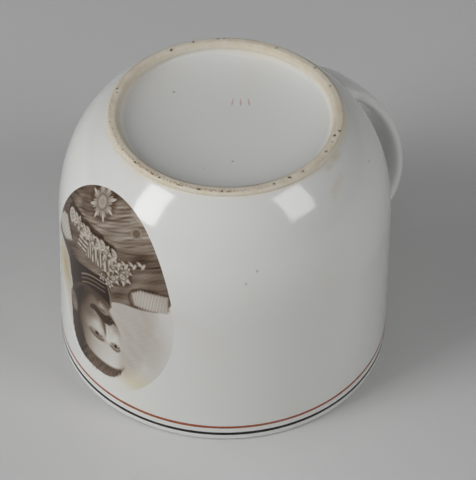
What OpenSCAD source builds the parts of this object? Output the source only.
// Porcelain cup with a strap handle, kept the way it is stored and shown: upside down on its rim.
// The cup's axis is Z and Z = 0 is the plane of the mouth, so the foot ring is the highest part.
// The portrait transfer faces -Y and the handle stands out towards +Y.
// Sizes are of the glazed cup: the clay pieces are smaller by the thickness of the glaze.

/* [Cup] */
// Height from the mouth to the top of the foot ring
cup_h = 78; // [70:1:90]
// Outer diameter at the mouth
mouth_d = 91; // [84:1:96]
// How far the wall leans in between the mouth and the shoulder
wall_lean = 0.45; // [0:0.05:1]
// Height where the straight wall turns into the round shoulder
shoulder_z = 42.4; // [38:0.2:46]
// Half width of the superellipse that the shoulder follows
shoulder_w = 31.6; // [28:0.2:36]
// How square that superellipse is: 2 is a plain ellipse
shoulder_n = 2.28; // [2:0.02:2.6]
// Thickness of the clay wall at the mouth
wall_t = 2.8; // [2.4:0.1:4]
// Thickness of the clay base inside the foot ring
base_t = 4; // [3:0.1:6]
// Radius of the rounded lip
lip_r = 1; // [0.6:0.1:1.2]

/* [Foot ring] */
// Outer diameter of the foot ring
foot_d = 63; // [58:0.2:66]
// Width of the bare clay ring
foot_w = 3.2; // [2.4:0.1:4]
// Height of the ring's outer side
ring_side_h = 1.2; // [1:0.1:3]
// Radius of the ring's outer edge
foot_edge_r = 0.9; // [0.6:0.1:1]
// Radius of the ring's inner edge
foot_in_edge_r = 1.4; // [0.8:0.1:1.4]
// Depth of the well inside the ring
well_depth = 6; // [3:0.1:6.5]
// Width of the cove between the ring and the well's floor
well_cove = 24; // [6:0.5:24]

/* [Handle] */
// Height of the handle's root near the foot
root_foot_z = 64; // [60:0.5:66]
// Height of the handle's root near the rim
root_rim_z = 12; // [10:0.5:18]
// Distance of the handle's outermost point from the cup's axis
handle_reach = 64.6; // [60:0.2:72]
// Width of the strap
strap_w = 11; // [8:0.5:14]
// Thickness of the strap
strap_t = 3.8; // [3:0.1:5]
// How much larger the strap's section is at its roots
root_flare = 1.3; // [1:0.05:1.5]

/* [Glaze and slip] */
// Thickness of the glaze
glaze_t = 0.3; // [0.2:0.05:0.4]
// Thickness of the slip that holds each root of the handle
slip_t = 0.5; // [0.3:0.1:0.8]

/* [Decoration] */
// Thickness of the printed and painted enamel
enamel_t = 0.1; // [0.05:0.05:0.2]
// Height of the middle of the black line
black_line_z = 2.6; // [2:0.05:3]
// Height of the middle of the red line
red_line_z = 5.15; // [4:0.05:6]
// Width of the black line
black_line_w = 0.95; // [0.4:0.05:1]
// Width of the red line
red_line_w = 0.85; // [0.4:0.05:1]
// Width of the oval portrait, measured round the wall
portrait_w = 48.8; // [30:0.2:56]
// Height of the oval portrait
portrait_h = 63.6; // [40:0.2:64]
// Height of the portrait's middle
portrait_z = 39.3; // [38:0.1:41]
// Length of each stroke of the painter's mark
mark_l = 2.8; // [2:0.1:4]

/* [Hidden] */

mouth_r = mouth_d / 2;
foot_r = foot_d / 2;
foot_in_r = foot_r - foot_w;
shoulder_r = mouth_r - wall_lean;
shoulder_c = shoulder_r - shoulder_w;
well_z = cup_h - well_depth;
well_r = foot_in_r - well_cove;
cove_h = well_depth - foot_in_edge_r;

// The shoulder meets the side of the foot ring at this height, this far round its superellipse.
foot_line_z = cup_h - ring_side_h;
foot_line_t = acos(pow((foot_r - shoulder_c) / shoulder_w, shoulder_n / 2));
shoulder_h = (foot_line_z - shoulder_z) / pow(sin(foot_line_t), 2 / shoulder_n);

// Inside of the clay wall: a straight wall, then an ellipse that runs out into the floor.
inside_r = mouth_r - glaze_t - wall_t;
inside_floor_z = well_z - glaze_t - base_t;
inside_w = 24;
inside_h = inside_floor_z - shoulder_z;

// Steps round the cup, along a long arc and along the small arc of an edge.
round_n = 96;
arc_n = 24;
edge_n = 6;
// The coats thin out to nothing at the crown of the lip, and are left off over its last few degrees.
lip_bare = 15;
// So do the coats at the ring's two edges.
ring_bare = 35;

// ---- outlines, as [radius, height] points ----

// Radius of the glazed outside at a height.
function wall_r(z) = z < shoulder_z
    ? mouth_r - wall_lean * z / shoulder_z
    : shoulder_c + shoulder_w * pow(1 - pow((z - shoulder_z) / shoulder_h, shoulder_n), 1 / shoulder_n);

// A point of an ellipse, moved out along the ellipse's own normal.
function ellipse_pt(c, a, b, t, out = 0) =
    let (normal = [cos(t) / a, sin(t) / b])
    c + [a * cos(t), b * sin(t)] + out * normal / norm(normal);

// Points of an ellipse between two angles.
function arc_pts(c, a, b, t0, t1, n, out = 0) =
    [for (i = [0:n]) ellipse_pt(c, a, b, t0 + (t1 - t0) * i / n, out)];

// The shoulder from the straight wall to the foot ring, moved out from the glazed surface.
function shoulder_pt(t, out) =
    let (
        across = pow(cos(t), 2 / shoulder_n),
        up = pow(sin(t), 2 / shoulder_n),
        normal = [pow(across, shoulder_n - 1) / shoulder_w, pow(up, shoulder_n - 1) / shoulder_h]
    )
    [shoulder_c + shoulder_w * across, shoulder_z + shoulder_h * up] + out * normal / norm(normal);
function shoulder_pts(out) = [for (i = [0:arc_n]) shoulder_pt(foot_line_t * i / arc_n, out)];

// The inside from the straight wall to the middle of the floor, moved in from the clay surface.
function inside_pts(in) = concat(
    arc_pts([inside_r - inside_w, shoulder_z], inside_w, inside_h, 0, 90, arc_n, -in),
    [[0, inside_floor_z - in]]
);

// The lip's outer and inner corner. With a coat on it, the corner is wider but no lower.
lip_out_c = [wall_r(lip_r) - glaze_t - lip_r, lip_r];
lip_in_c = [inside_r + lip_r, lip_r];
function lip_out_pts(coat, bare = 0) = arc_pts(lip_out_c, lip_r + coat, lip_r, -90 + bare, 0, edge_n);
function lip_in_pts(coat, bare = 0) = arc_pts(lip_in_c, lip_r + coat, lip_r, 180, 270 - bare, edge_n);

// The foot ring's worn edges, and the cove and floor of the well inside it.
ring_out_c = [foot_r - foot_edge_r, cup_h - foot_edge_r];
ring_in_c = [foot_in_r + foot_in_edge_r, cup_h - foot_in_edge_r];
function ring_out_pts(coat, bare = 0) =
    arc_pts(ring_out_c, foot_edge_r - glaze_t + coat, foot_edge_r, 0, 90 - bare, edge_n);
function ring_in_pts(coat, bare = 0) =
    arc_pts(ring_in_c, foot_in_edge_r + coat, foot_in_edge_r, 90 + bare, 180, edge_n);
function well_pts(coat) = concat(
    arc_pts([well_r, cup_h - foot_in_edge_r], well_cove - coat, cove_h - coat, 0, -90, arc_n),
    [[0, well_z + coat]]
);

function reversed(list) = [for (i = [len(list) - 1:-1:0]) list[i]];
function without_last(list) = [for (i = [0:len(list) - 2]) list[i]];

// ---- the handle's strap ----

// The strap follows a cubic curve in the plane of the cup's axis. Each end runs on straight into the wall.
root_proud = 0.8;
root_foot = [wall_r(root_foot_z) + root_proud, root_foot_z];
root_rim = [wall_r(root_rim_z), root_rim_z];
// How the curve leaves each root: the far one's reach outwards follows from handle_reach.
leave_foot = [25, -20.5];
leave_rim_z = -8;
// The curve is outermost about this far along it, with these weights on its four points.
outermost_t = 0.6;
weight = [
    pow(1 - outermost_t, 3), 3 * pow(1 - outermost_t, 2) * outermost_t,
    3 * (1 - outermost_t) * pow(outermost_t, 2), pow(outermost_t, 3)
];
middle_reach = handle_reach - strap_t / 2;
foot_share = (weight[0] + weight[1]) * root_foot[0] + weight[1] * leave_foot[0];
rim_share = (weight[2] + weight[3]) * root_rim[0];
leave_rim = [(middle_reach - foot_share - rim_share) / weight[2], leave_rim_z];
strap_path = [root_foot, root_foot + leave_foot, root_rim + leave_rim, root_rim];
// Rings along the strap and corners round it, and how square its superellipse section is.
ring_n = 34;
side_n = 20;
squareness = 2.8;
// Length of the straight run at each end, and the share of the strap over which its root flares.
into_wall = 6;
flare_share = 0.16;

function bezier(p, t) =
    pow(1 - t, 3) * p[0] + 3 * pow(1 - t, 2) * t * p[1] + 3 * (1 - t) * t * t * p[2] + pow(t, 3) * p[3];
function bezier_dir(p, t) =
    let (d = pow(1 - t, 2) * (p[1] - p[0]) + 2 * (1 - t) * t * (p[2] - p[1]) + t * t * (p[3] - p[2]))
    d / norm(d);

// Ring i of the strap: 0 and ring_n are the far ends of the straight runs.
function ring_t(i) = min(max((i - 1) / (ring_n - 2), 0), 1);
function ring_run(i, run) = i == 0 ? -run : i == ring_n ? run : 0;
function ring_mid(i, run) =
    bezier(strap_path, ring_t(i)) + ring_run(i, run) * bezier_dir(strap_path, ring_t(i));
function flare(t) =
    let (near = max(0, 1 - min(t, 1 - t) / flare_share))
    1 + (root_flare - 1) * near * near;

// One corner of the superellipse that is the strap's section.
function signed_pow(x, e) = sign(x) * pow(abs(x), e);
function ring_pt(i, j, coat, run) =
    let (
        a = 360 * j / side_n,
        dir = bezier_dir(strap_path, ring_t(i)),
        normal = [-dir[1], dir[0]],
        scale = flare(ring_t(i)),
        across = (strap_w / 2 * scale + coat) * signed_pow(sin(a), 2 / squareness),
        through = (strap_t / 2 * scale + coat) * signed_pow(cos(a), 2 / squareness),
        mid = ring_mid(i, run) + through * normal
    )
    [across, mid[0], mid[1]];

// The whole strap as one closed solid, thicker all round by coat.
module strap(coat, run = into_wall) {
    points = [for (i = [0:ring_n]) for (j = [0:side_n - 1]) ring_pt(i, j, coat, run)];
    sides = [
        for (i = [0:ring_n - 1]) for (j = [0:side_n - 1])
            let (k = (j + 1) % side_n, low = i * side_n, high = low + side_n)
            each [[low + j, high + k, low + k], [low + j, high + j, high + k]]
    ];
    first_cap = [for (j = [0:side_n - 1]) j];
    last_cap = [for (j = [side_n - 1:-1:0]) ring_n * side_n + j];
    polyhedron(points, concat([first_cap, last_cap], sides));
}

// ---- solids that the pieces are cut with ----

// Everything inside the outside surface moved out by a distance.
module filled_cup(out) {
    rotate_extrude($fn = round_n)
        polygon(concat([[0, 0], [mouth_r + out, 0]], shoulder_pts(out), [[0, foot_line_z + out]]));
}

// A thin coat on the outside of the glaze.
module coat_on_glaze() {
    rotate_extrude($fn = round_n) polygon(concat(
        [[mouth_r + enamel_t, 0], [mouth_r, 0]],
        shoulder_pts(0),
        reversed(shoulder_pts(enamel_t))
    ));
}

// ---- clay ----

module cup_body() {
    outline = concat(
        lip_out_pts(0),
        shoulder_pts(-glaze_t),
        ring_out_pts(0),
        without_last(ring_in_pts(0)),
        well_pts(0),
        reversed(inside_pts(0)),
        lip_in_pts(0)
    );
    color("whitesmoke") rotate_extrude($fn = round_n) polygon(outline);
}

module handle() {
    color("whitesmoke") difference() {
        strap(-glaze_t);
        filled_cup(slip_t - glaze_t);
    }
}

// Slip under one root of the handle, between the wall and the strap.
module slip_joint(z_from, z_to) {
    color("gainsboro") intersection() {
        strap(-glaze_t);
        difference() {
            filled_cup(slip_t - glaze_t);
            filled_cup(-glaze_t);
        }
        translate([-strap_w, 0, z_from]) cube([2 * strap_w, mouth_d, z_to - z_from]);
    }
}

module slip_joint_foot() { slip_joint(shoulder_z, cup_h); }

module slip_joint_rim() { slip_joint(0, shoulder_z); }

// ---- glaze ----

module outer_glaze() {
    outline = concat(
        lip_out_pts(glaze_t, lip_bare),
        shoulder_pts(0),
        ring_out_pts(glaze_t, ring_bare),
        reversed(ring_out_pts(0, ring_bare)),
        reversed(shoulder_pts(-glaze_t)),
        reversed(lip_out_pts(0, lip_bare))
    );
    color("white") difference() {
        rotate_extrude($fn = round_n) polygon(outline);
        strap(0);
    }
}

module inner_glaze() {
    outline = concat(
        inside_pts(0),
        reversed(inside_pts(glaze_t)),
        lip_in_pts(glaze_t, lip_bare),
        reversed(lip_in_pts(0, lip_bare))
    );
    color("white") rotate_extrude($fn = round_n) polygon(outline);
}

module foot_well_glaze() {
    outline = concat(
        without_last(ring_in_pts(0, ring_bare)),
        well_pts(0),
        reversed(well_pts(glaze_t)),
        reversed(without_last(ring_in_pts(glaze_t, ring_bare)))
    );
    color("white") rotate_extrude($fn = round_n) polygon(outline);
}

module handle_glaze() {
    color("white") difference() {
        strap(0);
        strap(-glaze_t, into_wall + 1);
        filled_cup(-glaze_t);
    }
}

// ---- enamel ----

module painted_line(z, line_w) {
    r_low = wall_r(z - line_w / 2);
    r_high = wall_r(z + line_w / 2);
    rotate_extrude($fn = round_n) polygon([
        [r_low, z - line_w / 2],
        [r_low + enamel_t, z - line_w / 2],
        [r_high + enamel_t, z + line_w / 2],
        [r_high, z + line_w / 2]
    ]);
}

module red_line() { color("orangered") painted_line(red_line_z, red_line_w); }

module black_line() { color("midnightblue") painted_line(black_line_z, black_line_w); }

// Corners round the oval's outline.
portrait_n = 48;

// The oval as seen from the front, so that it measures portrait_w round the wall at its middle.
function portrait_pt(t) =
    let (
        z = portrait_z + portrait_h / 2 * sin(t),
        r = wall_r(z),
        round_wall = portrait_w / 2 * cos(t) / r * 180 / PI
    )
    [r * sin(round_wall), z];

module portrait_transfer() {
    color("rosybrown") intersection() {
        coat_on_glaze();
        rotate([90, 0, 0]) linear_extrude(mouth_d)
            polygon([for (i = [1:portrait_n]) portrait_pt(360 * i / portrait_n)]);
    }
}

// A painter's tally of three short strokes, fanned out a little, on the floor of the foot well.
mark_at = [-5.3, 10.1];
mark_turn = 47;
stroke_w = 0.6;
stroke_gap = 2.2;
stroke_fan = 8;

module painters_mark() {
    color("indianred") intersection() {
        rotate_extrude($fn = round_n)
            polygon(concat(well_pts(glaze_t), reversed(well_pts(glaze_t + enamel_t))));
        translate([mark_at[0], mark_at[1], 0]) rotate([0, 0, mark_turn])
            for (i = [-1:1]) translate([i * stroke_gap, 0, 0]) rotate([0, 0, stroke_fan * i])
                translate([-stroke_w / 2, -mark_l / 2, 0]) cube([stroke_w, mark_l, cup_h]);
    }
}

cup_body();
handle();
slip_joint_foot();
slip_joint_rim();
outer_glaze();
inner_glaze();
foot_well_glaze();
handle_glaze();
red_line();
black_line();
portrait_transfer();
painters_mark();
